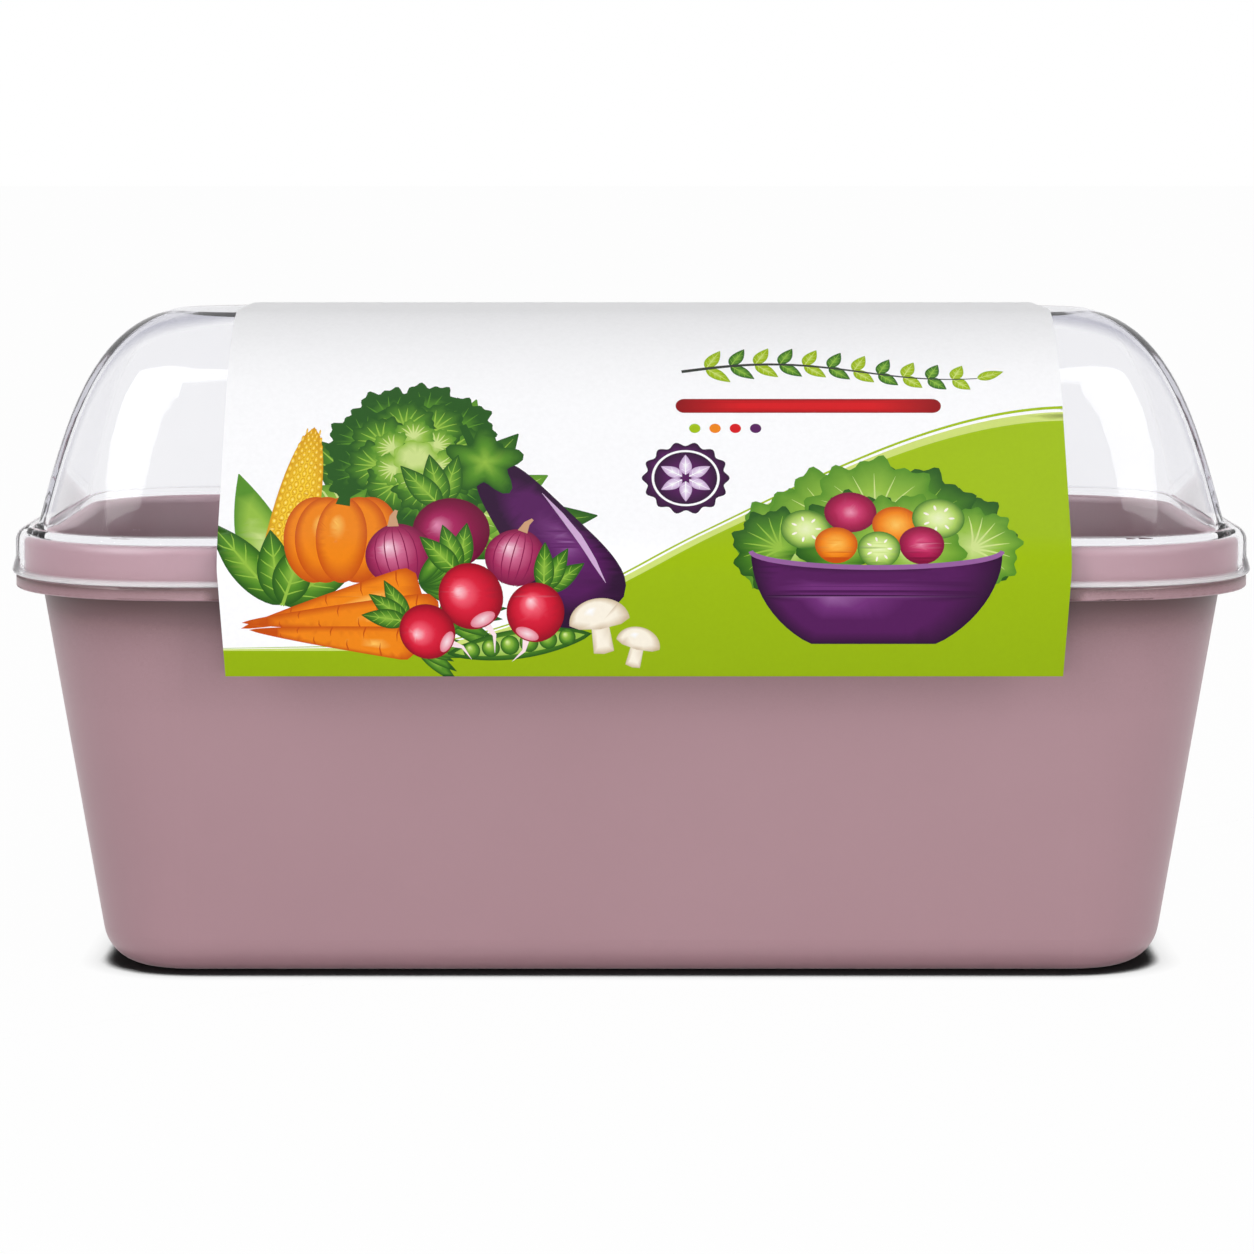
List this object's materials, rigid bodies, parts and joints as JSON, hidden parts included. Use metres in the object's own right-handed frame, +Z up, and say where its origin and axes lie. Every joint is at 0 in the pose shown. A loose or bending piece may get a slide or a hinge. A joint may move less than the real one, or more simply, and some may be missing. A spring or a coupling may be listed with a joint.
{
  "type": "lidded vegetable storage basket",
  "caption": "Long tapered plastic tub with a perforated inner basket, a clear domed lid with a turning air vent, and a printed card sleeve over the lid.",
  "frame": {"origin": "middle of the tub's base, on the surface it stands on", "axes": "+X along the box, +Y from the front to the back, +Z up"},
  "size_m": [0.4042, 0.2338, 0.2108],
  "materials": {
    "tub_plastic": "fine satin, dusty mauve",
    "basket_plastic": "satin, dusty mauve",
    "lid_clear": "clear, glossy",
    "knob_plastic": "glossy, dark plum",
    "shutter_clear": "clear",
    "sleeve_card": "coated white card with a printed pattern"
  },
  "bodies": {
    "tub": {"outer_tub": "tub_plastic"},
    "basket": {"inner_basket": "basket_plastic"},
    "lid": {"lid_dome": "lid_clear"},
    "vent": {"vent_knob": "knob_plastic", "vent_shutter": "shutter_clear"},
    "sleeve": {"label_sleeve": "sleeve_card"}
  },
  "joints": [
    {"name": "basket_lift", "type": "slide", "parent": "tub", "child": "basket", "axis": [0, 0, 1], "range_m": [0, 0.15]},
    {"name": "lid_lift", "type": "slide", "parent": "basket", "child": "lid", "axis": [0, 0, 1], "range_m": [0, 0.12]},
    {"name": "vent_turn", "type": "hinge", "parent": "lid", "child": "vent", "pos_m": [0, 0, 0.2], "axis": [0, 0, 1], "range_deg": [0, 45]},
    {"name": "sleeve_lift", "type": "slide", "parent": "lid", "child": "sleeve", "axis": [0, 0, 1], "range_m": [0, 0.14]}
  ]
}
